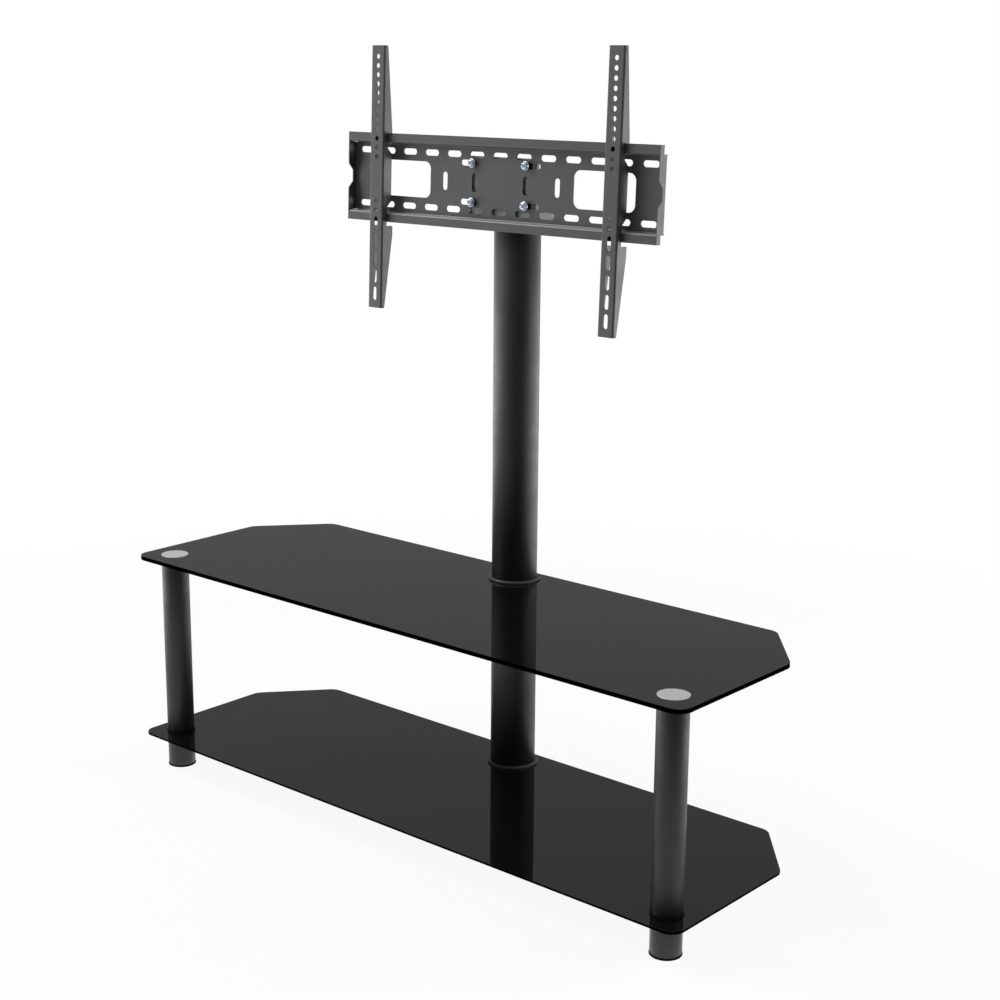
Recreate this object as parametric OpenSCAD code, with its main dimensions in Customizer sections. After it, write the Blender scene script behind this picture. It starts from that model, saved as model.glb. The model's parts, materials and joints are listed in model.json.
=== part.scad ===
// Floor stand for a television: two black glass shelves on two front legs and a rear column,
// and on the column a head that swivels and tilts, with a slotted rail and two hook-on arms.
// The front faces -Y, up is +Z, and the origin is on the floor under the middle of the shelves.

/* [Shelves] */
// Width of both glass shelves
shelf_w = 1338; // [1150:1:1500]
// Depth of both glass shelves
shelf_d = 441; // [400:1:520]
// Height of the upper shelf's top face
upper_top_z = 446; // [300:1:600]
// Thickness of the upper glass
upper_t = 8; // [6:0.5:12]
// Height of the lower shelf's top face
lower_top_z = 71; // [55:1:120]
// Thickness of the lower glass
lower_t = 4; // [4:0.5:10]
// Width cut off each rear corner
corner_w = 110; // [60:1:160]
// Depth cut off each rear corner
corner_d = 131; // [60:1:160]
// Radius where a cut corner meets a straight edge
corner_r = 28; // [5:1:40]
// Radius of the front corners
front_r = 26; // [15:1:50]

/* [Legs] */
// Distance of a leg's axis from the side edge and from the front edge
leg_inset = 55; // [40:1:90]
// Outer diameter of the leg tubes
leg_dia = 54; // [40:1:70]
// Wall of the leg tubes
leg_wall = 1.5; // [1:0.1:3]
// Height of the cap above the upper glass
cap_h = 0.6; // [0.6:0.1:4]
// Diameter of the sealing ring where a leg stands on the lower glass
leg_ring_dia = 57; // [55:0.5:75]
// Height of that sealing ring
leg_ring_h = 2; // [1:0.1:4]
// Diameter of the rod that clamps a leg together
leg_rod_dia = 10; // [8:0.5:12]
// Diameter of the glass hole over a leg
leg_hole_dia = 16; // [15:0.5:20]

/* [Column] */
// Distance of the column's axis from the rear edge
column_inset = 55; // [50:1:90]
// Outer diameter of the column tubes
column_dia = 87; // [70:1:95]
// Wall of the column tubes
column_wall = 2; // [1.5:0.1:4]
// Height of the column tube's top
column_top_z = 1115; // [900:1:1300]
// Outer diameter of the collars on the glass
collar_dia = 98.6; // [96:0.2:108]
// Height of the collars
collar_h = 5.5; // [4:0.1:9]
// Floor of a collar, under the tube
collar_floor = 1.5; // [1:0.1:2.5]
// Diameter of the rod that clamps the column together
column_rod_dia = 12; // [10:0.5:16]
// Diameter of the glass hole under the column
column_hole_dia = 18; // [17:0.5:24]

/* [Feet and seals] */
// Thickness of the seals between tubes and glass
seal_t = 1.5; // [0.8:0.1:3]
// Thickness of the foot pads
pad_t = 2; // [1:0.1:5]
// Depth of the pads' spigots inside the tubes
pad_spigot = 10; // [6:0.5:20]
// Depth of the threaded plugs in the tube ends
plug_depth = 20; // [12:1:30]
// Wall of the plugs and of the column's cap
plug_wall = 3; // [2:0.1:5]

/* [Swivel and tilt] */
// Thickness of the column cap's flange
column_cap_t = 3; // [3:0.5:8]
// Thickness of the swivel washer
washer_t = 2; // [1:0.1:4]
// Width over the yoke's cheeks
yoke_w = 110; // [90:1:112]
// Reach of the yoke in front of the column's axis
yoke_front = 32; // [24:1:36]
// Reach of the yoke behind the column's axis
yoke_back = 38; // [24:1:45]
// Sheet thickness of the yoke
yoke_t = 4; // [3:0.5:6]
// Height of the tilt axis above the column's top
tilt_rise = 61; // [55:1:90]
// Radius of the cheeks' rounded tops
cheek_r = 18; // [14:0.5:22]
// Diameter of the tilt bolt
tilt_bolt_dia = 10; // [8:0.5:12]
// Diameter of the swivel bolt
swivel_bolt_dia = 12; // [10:0.5:14]
// Backward lean of the head at rest, in degrees
lean = 2; // [0:0.5:4]

/* [Head plate] */
// Width of the head plate
head_w = 158; // [150:1:180]
// Height of the head plate's top edge above the rail's middle
head_up = 48.2; // [44:0.2:54]
// Depth of the head plate's bottom edge under the rail's middle
head_down = 59; // [44:0.2:62]
// Sheet thickness of the head plate and its ears
head_t = 3; // [2:0.5:5]
// Depth of the head plate's side flanges, from its face
head_flange_d = 10; // [7:0.5:16]
// Gap between the rail and the head plate, held open by spacers
head_gap = 4; // [2:0.5:6]
// Distance from the rail's face to the tilt axis
rail_lead = 52.2; // [48:0.2:70]
// Height of the rail's middle above the tilt axis
rail_rise = 18.2; // [10:0.2:24]
// Radius of the ears around the tilt bolt
ear_r = 16; // [12:0.5:20]
// Height of the ears at the head plate
ear_h = 56; // [40:1:58]

/* [Rail] */
// Length of the rail
rail_w = 738; // [700:1:900]
// Height of the rail over its lips
rail_h = 165.6; // [160:0.2:180]
// Sheet thickness of the rail
rail_t = 2; // [1.8:0.1:3]
// Depth from the lips' face to the plate's face
rail_depth = 19.7; // [16:0.1:24]
// Height of each lip
lip_h = 17.8; // [15:0.1:19]
// Inner radius of the bends
rail_bend = 2; // [1:0.1:2.5]
// Length of a slot
slot_l = 34; // [26:0.5:40]
// Height of a slot
slot_h = 11.4; // [8:0.2:13]
// Distance between slots in a row
slot_pitch = 56.1; // [50:0.1:57]
// Slots on each side of the middle one
slot_side = 6; // [3:1:6]
// Height of a slot row from the rail's middle
slot_row = 50.3; // [48:0.1:51]
// Width of a window
window_w = 135.5; // [80:0.5:140]
// Height of a window
window_h = 67; // [40:0.5:68]
// Corner radius of a window
window_r = 14; // [5:0.5:18]
// Distance of a window's middle from the rail's middle
window_x = 238.5; // [235:0.5:245]

/* [Rail screws] */
// Distance of the screws from the rail's middle, sideways
screw_x = 63.8; // [63:0.1:66]
// Distance of the screws from the rail's middle, upwards
screw_z = 35.4; // [34:0.1:36]
// Thread diameter of the screws
screw_dia = 8; // [6:0.5:9]
// Diameter of the screw heads
screw_head_dia = 16.5; // [14:0.5:18]
// Height of the screw heads
screw_head_h = 6.5; // [4:0.1:7]
// Length of the sleeves between the rail and the screw heads
sleeve_l = 5; // [1:0.5:8]
// Outer diameter of those sleeves
sleeve_dia = 12; // [11:0.5:16]
// Height of the slots that the screws sit in
screw_slot_h = 10.6; // [10:0.1:12]
// Length of the slots that the screws sit in
screw_slot_l = 36; // [26:0.5:40]
// Outer diameter of the spacers behind the rail
spacer_dia = 15; // [14:0.5:16]

/* [Arms] */
// Height of the arms' top ends above the rail's middle
arm_up = 242.7; // [230:0.1:260]
// Depth of the arms' bottom ends under the rail's middle
arm_down = 246.4; // [235:0.1:260]
// Width of an arm
arm_w = 34.8; // [28:0.1:38]
// Sheet thickness of an arm
arm_t = 2; // [1.5:0.1:2.5]
// Distance of the left arm's middle from the rail's middle
left_arm_x = 281.4; // [120:0.2:340]
// Distance of the right arm's middle from the rail's middle
right_arm_x = 278; // [120:0.2:340]
// Distance from the arm's face to the rail's lips
arm_stand = 12.3; // [10:0.1:14]
// Side depth at the arm's top end
arm_top_d = 9; // [6:0.5:14]
// Side depth at the hook
arm_hook_d = 23.3; // [21:0.1:26]
// Side depth just under the rail
arm_low_d = 28; // [24:0.5:34]
// Side depth at the arm's bottom end
arm_foot_d = 9.2; // [8:0.1:16]
// Diameter of the arm's holes and width of its slots
hole_dia = 9.1; // [7:0.1:10]
// Distance between hole positions
hole_pitch = 16.667; // [15:0.001:16.8]
// Distance of the first hole from the arm's top end
first_hole = 20.2; // [14:0.1:24]

/* [Hidden] */
$fn = 64;

// Colours
glass_black = [0.05, 0.05, 0.055];
tube_black = [0.09, 0.09, 0.095];
rubber_black = [0.04, 0.04, 0.04];
head_grey = [0.24, 0.24, 0.25];
cap_silver = [0.74, 0.74, 0.74];
zinc = [0.72, 0.76, 0.8];
steel_grey = [0.5, 0.5, 0.52];
nylon_white = [0.85, 0.84, 0.8];

// Clearances: a turning pin in its bore, a piece pushed into a tube, and a sliding hook
run_gap = 0.05;
push_gap = 0.2;
slide_gap = 0.3;
// Overrun of a cut past the face that it opens
over = 1;
// Steps along a rounded corner: fine on the glass, coarse on a bend of the sheet
glass_steps = 20;
bend_steps = 6;

// Places worked out from the sizes above
leg_x = shelf_w / 2 - leg_inset;
leg_y = leg_inset - shelf_d / 2;
column_y = shelf_d / 2 - column_inset;
upper_low_z = upper_top_z - upper_t;
lower_low_z = lower_top_z - lower_t;
foot_top_z = lower_low_z - seal_t;
leg_top_z = upper_low_z - seal_t;
leg_low_z = lower_top_z + leg_ring_h;
column_low_z = upper_top_z + collar_floor;
bay_low_z = lower_top_z + collar_floor;
cap_top_z = column_top_z + column_cap_t;
yoke_z = cap_top_z + washer_t;
tilt_z = column_top_z + tilt_rise;
leg_in_r = leg_dia / 2 - leg_wall;
column_in_r = column_dia / 2 - column_wall;

// Small sizes of the legs and the column
cap_edge_r = 0.5;
cap_boss_dia = 15;
cap_roof = 1;
boss_wall = 4;
rod_bite = 5;
collar_edge_r = 2.4;
seal_bore_share = 0.6;
pad_edge_r = 0.6;

// Small sizes of the swivel and the tilt
cap_boss_r = 13;
washer_rim = 3;
yoke_bend = 3;
cheek_foot = 14;
bolt_head_w = 18;
bolt_head_h = 7.5;
swivel_nut_h = 10;
bolt_tail = 3;
tilt_head_w = 16;
tilt_head_h = 6.4;
tilt_nut_h = 8;
ear_gap = 0.5;
head_corner_r = 6;
head_bend = 2;

// Small sizes of the rail
end_relief = 0.6;
relief_r = 2.2;
fold_corner_r = 4;
tab_d = 10.7;
notch_mouth = 46;
notch_floor = 21;
notch_d = 11;
upright_slot_w = 12;
upright_slot_l = 34;
upright_xs = [61, 134];
screw_outset = 5.3;

// Small sizes of the screws
screw_dome_r = 4;
cross_w = 1.6;
cross_l = 8.5;
cross_d = 3;
nut_w = 13;
nut_h = 6.5;
screw_tail = 2;

// Small sizes of the arms
arm_bend = 1.5;
arm_edge_r = 2;
hook_land = 5;
finger_l = 12.8;
recess_gap = 10;
recess_bevel = 11;
low_gap = 7.8;
low_land = 18.4;
round_holes = [0, 1, 2, 3, 4, 5, 6, 7, 8, 9, 10, 11, 16, 17];
slot_holes = [18, 20, 22, 24, 26];

// Rail levels: outer edge of a lip, face of the shelf behind it, end of the side flange
lip_top = rail_h / 2;
shelf_z = lip_top - lip_h;
flange_top = shelf_z - end_relief;
relief_x = rail_w / 2 - rail_bend - rail_t - relief_r;

function unit(v) = v / norm(v);

// Points of an arc of radius r that rounds corner p, whose edges leave along a and b
function corner_arc(p, a, b, r, steps) =
    let (half = acos(a * b) / 2)
    let (c = p + unit(a + b) * r / sin(half))
    let (s = p + a * r / tan(half) - c)
    let (e = p + b * r / tan(half) - c)
    let (turn = 180 - 2 * half)
    [for (k = [0 : steps]) c + (s * sin(turn * (1 - k / steps)) + e * sin(turn * k / steps)) / sin(turn)];

// An outline with each corner rounded by its own radius, sharp where the radius is zero
function rounded(points, radii, steps) =
    let (n = len(points))
    [for (i = [0 : n - 1])
        let (p = points[i])
        let (a = unit(points[(i + n - 1) % n] - p))
        let (b = unit(points[(i + 1) % n] - p))
        each radii[i] > 0 ? corner_arc(p, a, b, radii[i], steps) : [p]];

// Height of the middle of hole position k on an arm
function hole_z(k) = arm_up - first_hole - k * hole_pitch;

// Puts a flat shape drawn in Y and Z along X, centred
module along_x(length) {
    rotate([90, 0, 90])
        linear_extrude(length, center = true)
            children();
}

// Puts a flat shape drawn in X and Z along Y, centred
module along_y(length) {
    rotate([90, 0, 0])
        linear_extrude(length, center = true)
            children();
}

module tube(outer_r, inner_r, low, high) {
    translate([0, 0, low])
        difference() {
            cylinder(h = high - low, r = outer_r);
            translate([0, 0, -over])
                cylinder(h = high - low + 2 * over, r = inner_r);
        }
}

// A slot with round ends, lying along the first axis
module slot_shape(length, width) {
    square([length - width, width], center = true);
    for (side = [-1, 1])
        translate([side * (length - width) / 2, 0])
            circle(d = width);
}

module at_leg(side) {
    translate([side * leg_x, leg_y, 0])
        children();
}

module at_column() {
    translate([0, column_y, 0])
        children();
}

// The head's own frame: origin on the tilt axis, leaning with the head
module at_tilt() {
    translate([0, column_y, tilt_z])
        rotate([-lean, 0, 0])
            children();
}

// The rail's own frame: origin in the middle of the plate's face
module at_rail() {
    at_tilt()
        translate([0, -rail_lead, rail_rise])
            children();
}

// Glass shelves

module glass_shelf(low, high) {
    side_x = shelf_w / 2;
    end_y = shelf_d / 2;
    outline = [[-side_x, -end_y], [side_x, -end_y], [side_x, end_y - corner_d],
        [side_x - corner_w, end_y], [corner_w - side_x, end_y], [-side_x, end_y - corner_d]];
    radii = [front_r, front_r, corner_r, corner_r, corner_r, corner_r];
    difference() {
        translate([0, 0, low])
            linear_extrude(high - low)
                polygon(rounded(outline, radii, glass_steps));
        for (side = [-1, 1])
            at_leg(side)
                translate([0, 0, low - over])
                    cylinder(h = high - low + 2 * over, d = leg_hole_dia);
        at_column()
            translate([0, 0, low - over])
                cylinder(h = high - low + 2 * over, d = column_hole_dia);
    }
}

module upper_glass() {
    color(glass_black)
        glass_shelf(upper_low_z, upper_top_z);
}

module lower_glass() {
    color(glass_black)
        glass_shelf(lower_low_z, lower_top_z);
}

// Legs, each clamped by one rod from the cap to the foot

// A threaded plug with its closed face at the bottom: rim, web and boss
module tube_plug(outer_r, bore_r) {
    rotate_extrude()
        difference() {
            translate([bore_r, 0])
                square([outer_r - bore_r, plug_depth]);
            translate([bore_r + boss_wall, plug_wall])
                square([outer_r - plug_wall - bore_r - boss_wall, plug_depth]);
        }
}

module leg_plug(low, up) {
    color(steel_grey)
        translate([0, 0, low])
            mirror([0, 0, up ? 0 : 1])
                tube_plug(leg_in_r - push_gap, leg_rod_dia / 2 + run_gap);
}

module leg_cap(side) {
    cap_r = leg_dia / 2;
    edge = rounded([[0, 0], [cap_r, 0], [cap_r, cap_h], [0, cap_h]], [0, 0, cap_edge_r, 0], bend_steps);
    color(cap_silver)
        at_leg(side)
            translate([0, 0, upper_top_z])
                difference() {
                    union() {
                        rotate_extrude()
                            polygon(edge);
                        translate([0, 0, -upper_t])
                            cylinder(h = upper_t, d = cap_boss_dia);
                    }
                    translate([0, 0, -upper_t - over])
                        cylinder(h = upper_t + over - cap_roof, d = leg_rod_dia + 2 * run_gap);
                }
}

module leg_tube(side) {
    color(tube_black)
        at_leg(side)
            tube(leg_dia / 2, leg_in_r, leg_low_z, leg_top_z);
}

module leg_rod(side) {
    rod_low = foot_top_z - plug_depth - rod_bite;
    rod_high = upper_top_z - 2 * cap_roof;
    color(steel_grey)
        at_leg(side)
            translate([0, 0, rod_low])
                cylinder(h = rod_high - rod_low, d = leg_rod_dia);
}

module leg_seal(side) {
    color(rubber_black)
        at_leg(side)
            tube(leg_dia / 2, leg_dia / 2 * seal_bore_share, leg_top_z, upper_low_z);
}

module leg_ring(side) {
    color(rubber_black)
        at_leg(side)
            tube(leg_ring_dia / 2, leg_dia / 2 * seal_bore_share, lower_top_z, leg_low_z);
}

module foot_seal(side) {
    color(rubber_black)
        at_leg(side)
            tube(leg_dia / 2, leg_dia / 2 * seal_bore_share, foot_top_z, lower_low_z);
}

module foot_tube(side) {
    color(tube_black)
        at_leg(side)
            tube(leg_dia / 2, leg_in_r, pad_t, foot_top_z);
}

module foot_pad(outer_r, inner_r) {
    outline = rounded([[0, 0], [outer_r, 0], [outer_r, pad_t], [0, pad_t]], [0, pad_edge_r, 0, 0], bend_steps);
    color(rubber_black) {
        rotate_extrude()
            polygon(outline);
        translate([0, 0, pad_t])
            cylinder(h = pad_spigot, r = inner_r - push_gap);
    }
}

// Column, in three lengths with the glass clamped between them

module collar(low) {
    collar_r = collar_dia / 2;
    seat_r = column_dia / 2 + push_gap;
    bore_r = collar_r * seal_bore_share;
    outline = rounded([[bore_r, 0], [collar_r, 0], [collar_r, collar_h], [seat_r, collar_h],
        [seat_r, collar_floor], [bore_r, collar_floor]], [0, 0, collar_edge_r, 0, 0, 0], bend_steps);
    color(tube_black)
        at_column()
            translate([0, 0, low])
                rotate_extrude()
                    polygon(outline);
}

module column_plug(low, up) {
    color(steel_grey)
        at_column()
            translate([0, 0, low])
                mirror([0, 0, up ? 0 : 1])
                    tube_plug(column_in_r - push_gap, column_rod_dia / 2 + run_gap);
}

module column_tube() {
    color(tube_black)
        at_column()
            tube(column_dia / 2, column_in_r, column_low_z, column_top_z);
}

module column_bay_tube() {
    color(tube_black)
        at_column()
            tube(column_dia / 2, column_in_r, bay_low_z, leg_top_z);
}

module column_foot_tube() {
    color(tube_black)
        at_column()
            tube(column_dia / 2, column_in_r, pad_t, foot_top_z);
}

module column_seal() {
    color(rubber_black)
        at_column()
            tube(column_dia / 2, column_dia / 2 * seal_bore_share, leg_top_z, upper_low_z);
}

module column_foot_seal() {
    color(rubber_black)
        at_column()
            tube(column_dia / 2, column_dia / 2 * seal_bore_share, foot_top_z, lower_low_z);
}

module column_rod() {
    rod_low = foot_top_z - plug_depth - rod_bite;
    rod_high = column_low_z + plug_depth + rod_bite;
    color(steel_grey)
        at_column()
            translate([0, 0, rod_low])
                cylinder(h = rod_high - rod_low, d = column_rod_dia);
}

module column_cap() {
    bore_r = swivel_bolt_dia / 2 + run_gap;
    spigot_r = column_in_r - push_gap;
    color(steel_grey)
        at_column()
            translate([0, 0, column_top_z])
                rotate_extrude()
                    difference() {
                        union() {
                            translate([bore_r, 0])
                                square([column_dia / 2 - bore_r, column_cap_t]);
                            translate([bore_r, -plug_depth])
                                square([spigot_r - bore_r, plug_depth]);
                        }
                        translate([cap_boss_r, -plug_depth - over])
                            square([spigot_r - plug_wall - cap_boss_r, plug_depth + over]);
                    }
}

// Swivel and tilt

module swivel_washer() {
    color(nylon_white)
        at_column()
            tube(column_dia / 2 - washer_rim, swivel_bolt_dia / 2 + push_gap, cap_top_z, yoke_z);
}

// A channel bent from sheet, open upwards, with its cheeks cut to a rounded outline
module swivel_yoke() {
    half = yoke_w / 2;
    top = tilt_z - yoke_z + cheek_r;
    bend_out = yoke_bend + yoke_t;
    section = [[-half, 0], [half, 0], [half, top], [half - yoke_t, top], [half - yoke_t, yoke_t],
        [yoke_t - half, yoke_t], [yoke_t - half, top], [-half, top]];
    section_radii = [bend_out, bend_out, 0, 0, yoke_bend, yoke_bend, 0, 0];
    cheek = [[-yoke_front, 0], [yoke_back, 0], [yoke_back, cheek_foot], [cheek_r, top - cheek_r],
        [cheek_r, top], [-cheek_r, top], [-cheek_r, top - cheek_r], [-yoke_front, cheek_foot]];
    cheek_radii = [0, 0, cheek_foot / 2, 0, cheek_r, cheek_r, 0, cheek_foot / 2];
    color(head_grey)
        at_column()
            translate([0, 0, yoke_z])
                difference() {
                    intersection() {
                        along_y(2 * (yoke_front + yoke_back))
                            polygon(rounded(section, section_radii, bend_steps));
                        along_x(yoke_w + 2 * over)
                            polygon(rounded(cheek, cheek_radii, glass_steps));
                    }
                    translate([0, 0, -over])
                        cylinder(h = yoke_t + 2 * over, d = swivel_bolt_dia + 2 * run_gap);
                    translate([0, 0, tilt_z - yoke_z])
                        rotate([0, 90, 0])
                            cylinder(h = yoke_w + 2 * over, d = tilt_bolt_dia + 2 * run_gap, center = true);
                }
}

// A hexagon with the given width across its flats
module hex_shape(width) {
    circle(d = width / cos(30), $fn = 6);
}

module swivel_bolt() {
    low = column_top_z - plug_depth - swivel_nut_h - bolt_tail;
    color(zinc)
        at_column() {
            translate([0, 0, yoke_z + yoke_t])
                linear_extrude(bolt_head_h)
                    hex_shape(bolt_head_w);
            translate([0, 0, low])
                cylinder(h = yoke_z + yoke_t - low, d = swivel_bolt_dia);
        }
}

module swivel_nut() {
    color(zinc)
        at_column()
            translate([0, 0, column_top_z - plug_depth - swivel_nut_h])
                difference() {
                    linear_extrude(swivel_nut_h)
                        hex_shape(bolt_head_w);
                    translate([0, 0, -over])
                        cylinder(h = swivel_nut_h + 2 * over, d = swivel_bolt_dia + 2 * run_gap);
                }
}

module tilt_bolt() {
    tail = tilt_nut_h + bolt_tail;
    color(zinc)
        translate([-yoke_w / 2, column_y, tilt_z])
            rotate([0, 90, 0]) {
                cylinder(h = yoke_w + tail, d = tilt_bolt_dia);
                translate([0, 0, -tilt_head_h])
                    linear_extrude(tilt_head_h)
                        hex_shape(tilt_head_w);
            }
}

module tilt_nut() {
    color(zinc)
        translate([yoke_w / 2, column_y, tilt_z])
            rotate([0, 90, 0])
                difference() {
                    linear_extrude(tilt_nut_h)
                        hex_shape(tilt_head_w);
                    translate([0, 0, -over])
                        cylinder(h = tilt_nut_h + 2 * over, d = tilt_bolt_dia + 2 * run_gap);
                }
}

// Head plate: a shallow channel behind the rail with two ears on the tilt bolt
module head_plate() {
    front = -rail_lead + rail_t + head_gap;
    back = front + head_t;
    bend_out = head_bend + head_t;
    half_w = head_w / 2;
    face = [[-half_w, -head_down], [half_w, -head_down], [half_w, head_up], [-half_w, head_up]];
    face_radii = [head_corner_r, head_corner_r, head_corner_r, head_corner_r];
    section = [[-half_w, 0], [half_w, 0], [half_w, head_flange_d], [half_w - head_t, head_flange_d],
        [half_w - head_t, head_t], [head_t - half_w, head_t], [head_t - half_w, head_flange_d],
        [-half_w, head_flange_d]];
    section_radii = [bend_out, bend_out, 0, 0, head_bend, head_bend, 0, 0];
    ear = [[back - head_t, ear_h / 2], [back - head_t, -ear_h / 2], [0, -ear_r], [ear_r, -ear_r],
        [ear_r, ear_r], [0, ear_r]];
    ear_radii = [0, 0, 0, ear_r, ear_r, 0];
    ear_x = yoke_w / 2 - yoke_t - ear_gap - head_t / 2;
    color(head_grey)
        at_tilt()
            difference() {
                union() {
                    translate([0, front, rail_rise])
                        intersection() {
                            translate([0, 0, -head_down - over])
                                linear_extrude(head_up + head_down + 2 * over)
                                    polygon(rounded(section, section_radii, bend_steps));
                            along_y(2 * head_flange_d + 2 * over)
                                polygon(rounded(face, face_radii, bend_steps));
                        }
                    for (side = [-1, 1])
                        translate([side * ear_x, 0, 0])
                            along_x(head_t)
                                polygon(rounded(ear, ear_radii, glass_steps));
                }
                rotate([0, 90, 0])
                    cylinder(h = yoke_w, d = tilt_bolt_dia + 2 * run_gap, center = true);
                for (side = [-1, 1], row = [-1, 1])
                    translate([side * screw_x, back - head_t / 2, rail_rise + row * screw_z])
                        rotate([90, 0, 0])
                            cylinder(h = head_t + 2 * over, d = screw_dia + 2 * push_gap, center = true);
            }
}

// Rail: a plate set back between two lips, slotted, with its ends folded forwards
module mount_rail() {
    half = rail_w / 2;
    bend_out = rail_bend + rail_t;
    lip_back = rail_t - rail_depth;
    section = [[-rail_depth, lip_top], [-rail_depth, shelf_z], [0, shelf_z], [0, -shelf_z],
        [-rail_depth, -shelf_z], [-rail_depth, -lip_top], [lip_back, -lip_top],
        [lip_back, -shelf_z - rail_t], [rail_t, -shelf_z - rail_t], [rail_t, shelf_z + rail_t],
        [lip_back, shelf_z + rail_t], [lip_back, lip_top]];
    section_radii = [0, bend_out, rail_bend, rail_bend, bend_out, 0, 0, rail_bend, bend_out,
        bend_out, rail_bend, 0];
    color(head_grey)
        at_rail()
            difference() {
                union() {
                    difference() {
                        along_x(rail_w)
                            polygon(rounded(section, section_radii, bend_steps));
                        for (side = [-1, 1])
                            translate([side * half, 0, 0])
                                cube([2 * bend_out, 2 * bend_out, 2 * flange_top], center = true);
                    }
                    for (side = [-1, 1])
                        scale([side, 1, 1])
                            rail_end();
                }
                for (side = [-1, 1], row = [-1, 1])
                    translate([side * relief_x, rail_t + over, row * (shelf_z + relief_r / 2)])
                        rotate([90, 0, 0])
                            cylinder(h = rail_t + rail_bend + 2 * over, r = relief_r);
                along_y(2 * rail_depth)
                    rail_slots();
                for (side = [-1, 1])
                    translate([side * half, 0, 0])
                        along_x(4 * bend_out)
                            polygon([[-rail_depth - over, notch_mouth / 2], [-rail_depth, notch_mouth / 2],
                                [notch_d - rail_depth, notch_floor / 2],
                                [notch_d - rail_depth, -notch_floor / 2],
                                [-rail_depth, -notch_mouth / 2], [-rail_depth - over, -notch_mouth / 2]]);
            }
}

// The right end of the rail: the plate folded forwards, and the tabs that close the lips
module rail_end() {
    half = rail_w / 2;
    bend_out = rail_bend + rail_t;
    fold = [[half - bend_out - over, 0], [half - rail_t, 0], [half - rail_t, -rail_depth],
        [half, -rail_depth], [half, rail_t], [half - bend_out - over, rail_t]];
    fold_radii = [0, rail_bend, 0, 0, bend_out, 0];
    outline = [[bend_out, -flange_top], [bend_out, flange_top], [-rail_depth, flange_top],
        [-rail_depth, -flange_top]];
    outline_radii = [fold_corner_r + bend_out, fold_corner_r + bend_out, 0, 0];
    intersection() {
        translate([0, 0, -flange_top])
            linear_extrude(2 * flange_top)
                polygon(rounded(fold, fold_radii, bend_steps));
        translate([half, 0, 0])
            along_x(4 * bend_out)
                polygon(rounded(outline, outline_radii, bend_steps));
    }
    for (row = [-1, 1])
        translate([half - rail_t, -rail_depth, row > 0 ? flange_top : -lip_top])
            cube([rail_t, tab_d, lip_top - flange_top]);
}

// All slots and windows of the rail's plate, drawn from the front
module rail_slots() {
    for (k = [-slot_side : slot_side], row = [-1, 1])
        translate([k * slot_pitch, row * slot_row])
            slot_shape(slot_l, slot_h);
    for (side = [-1, 1]) {
        translate([side * window_x, 0])
            polygon(rounded([[-window_w / 2, -window_h / 2], [window_w / 2, -window_h / 2],
                [window_w / 2, window_h / 2], [-window_w / 2, window_h / 2]],
                [window_r, window_r, window_r, window_r], glass_steps));
        for (x = upright_xs)
            translate([side * x, 0])
                rotate(90)
                    slot_shape(upright_slot_l, upright_slot_w);
        for (row = [-1, 1])
            translate([side * (screw_x - screw_outset + screw_slot_l / 2), row * screw_z])
                slot_shape(screw_slot_l, screw_slot_h);
    }
}

// A cross-head screw from the front of the rail
module rail_screw(side, row) {
    head_r = screw_head_dia / 2;
    shank_l = sleeve_l + rail_t + head_gap + head_t + nut_h + screw_tail;
    dome = rounded([[0, 0], [head_r, 0], [head_r, screw_head_h], [0, screw_head_h]],
        [0, 0, screw_dome_r, 0], bend_steps);
    color(zinc)
        at_rail()
            translate([side * screw_x, -sleeve_l, row * screw_z])
                rotate([90, 0, 0])
                    difference() {
                        union() {
                            rotate_extrude()
                                polygon(dome);
                            translate([0, 0, -shank_l])
                                cylinder(h = shank_l, d = screw_dia);
                        }
                        for (turn = [0, 90])
                            rotate([0, 0, turn])
                                translate([0, 0, screw_head_h])
                                    cube([cross_l, cross_w, 2 * cross_d], center = true);
                    }
}

// Sleeves that hold the screw heads off the rail
module screw_sleeves() {
    color(rubber_black)
        at_rail()
            for (side = [-1, 1], row = [-1, 1])
                translate([side * screw_x, -sleeve_l / 2, row * screw_z])
                    along_y(sleeve_l)
                        difference() {
                            circle(d = sleeve_dia);
                            circle(d = screw_dia + 2 * run_gap);
                        }
}

// Spacers that hold the head plate off the rail
module rail_spacers() {
    color(zinc)
        at_rail()
            for (side = [-1, 1], row = [-1, 1])
                translate([side * screw_x, rail_t + head_gap / 2, row * screw_z])
                    along_y(head_gap)
                        difference() {
                            circle(d = spacer_dia);
                            circle(d = screw_dia + 2 * run_gap);
                        }
}

module screw_nuts() {
    color(zinc)
        at_rail()
            for (side = [-1, 1], row = [-1, 1])
                translate([side * screw_x, rail_t + head_gap + head_t + nut_h / 2, row * screw_z])
                    along_y(nut_h)
                        difference() {
                            hex_shape(nut_w);
                            circle(d = screw_dia + 2 * run_gap);
                        }
}

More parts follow.
